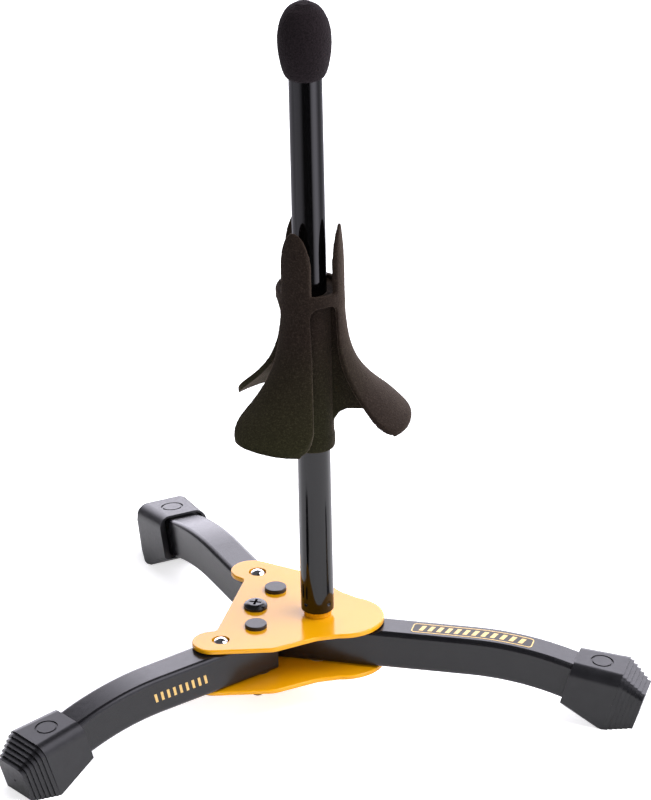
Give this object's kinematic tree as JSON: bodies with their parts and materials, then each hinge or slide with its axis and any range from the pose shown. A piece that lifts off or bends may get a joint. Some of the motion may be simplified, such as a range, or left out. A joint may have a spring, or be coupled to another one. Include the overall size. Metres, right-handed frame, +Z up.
{
  "type": "saxophone stand",
  "caption": "Folding tripod stand that holds a small straight saxophone by its bell on a flocked peg around a foam-tipped post.",
  "frame": {"origin": "on the floor, on the post's axis", "axes": "+Z up along the post, +X along the fixed centre leg, +Y towards the left swivel leg"},
  "size_m": [0.2885, 0.2824, 0.3628],
  "materials": {
    "plate_paint": "glossy yellow-orange powder coat",
    "leg_paint": "satin black powder coat",
    "post_paint": "gloss black powder coat",
    "foot_rubber": "moulded matte rubber",
    "black_steel": "black oxide steel",
    "zinc_steel": "zinc plated",
    "ball_chrome": "polished",
    "spring_steel": "bright drawn wire",
    "white_nylon": "natural nylon",
    "black_plastic": "moulded",
    "peg_velvet": "moulded plastic with a flocked velvet skin",
    "tip_foam": "soft fine-celled foam"
  },
  "bodies": {
    "base": {"top_plate": "plate_paint", "bottom_plate": "plate_paint", "center_leg_tube": "leg_paint", "center_foot": "foot_rubber", "left_pivot_bolt": "black_steel", "right_pivot_bolt": "black_steel", "left_pivot_bush": "zinc_steel", "right_pivot_bush": "zinc_steel", "pivot_nuts": "zinc_steel", "pivot_washers": "black_plastic", "hub_screw": "black_steel", "hub_screw_nut": "zinc_steel", "hub_screw_spacer": "zinc_steel", "center_leg_shims": "zinc_steel", "post_bolt": "zinc_steel", "post_bolt_washer": "zinc_steel", "post_bolt_spacer": "zinc_steel", "post_collar": "plate_paint", "post_insert": "zinc_steel", "post_tube": "post_paint", "post_plug": "black_plastic", "foam_tip": "tip_foam", "velvet_peg": "peg_velvet"},
    "left_leg": {"left_leg_tube": "leg_paint", "left_foot": "foot_rubber", "left_detent_sleeve": "white_nylon", "left_detent_spring": "spring_steel"},
    "right_leg": {"right_leg_tube": "leg_paint", "right_foot": "foot_rubber", "right_detent_sleeve": "white_nylon", "right_detent_spring": "spring_steel"},
    "left_ball": {"left_detent_ball": "ball_chrome"},
    "right_ball": {"right_detent_ball": "ball_chrome"}
  },
  "joints": [
    {"name": "left_leg_fold", "type": "hinge", "parent": "base", "child": "left_leg", "pos_m": [-0.0259, 0.0196, 0.02875], "axis": [0, 0, -1], "range_deg": [0, 126], "deforming": ["left_detent_ball"]},
    {"name": "right_leg_fold", "type": "hinge", "parent": "base", "child": "right_leg", "pos_m": [-0.0259, -0.0196, 0.02875], "axis": [0, 0, 1], "range_deg": [0, 126], "deforming": ["right_detent_ball"]},
    {"name": "left_ball_press", "type": "slide", "parent": "left_leg", "child": "left_ball", "axis": [0, 0, -1], "range_m": [0, 0.0035], "stiffness_N_per_m": 300, "springref_m": -0.004, "deforming": ["left_detent_spring"]},
    {"name": "right_ball_press", "type": "slide", "parent": "right_leg", "child": "right_ball", "axis": [0, 0, -1], "range_m": [0, 0.0035], "stiffness_N_per_m": 300, "springref_m": -0.004, "deforming": ["right_detent_spring"]}
  ]
}
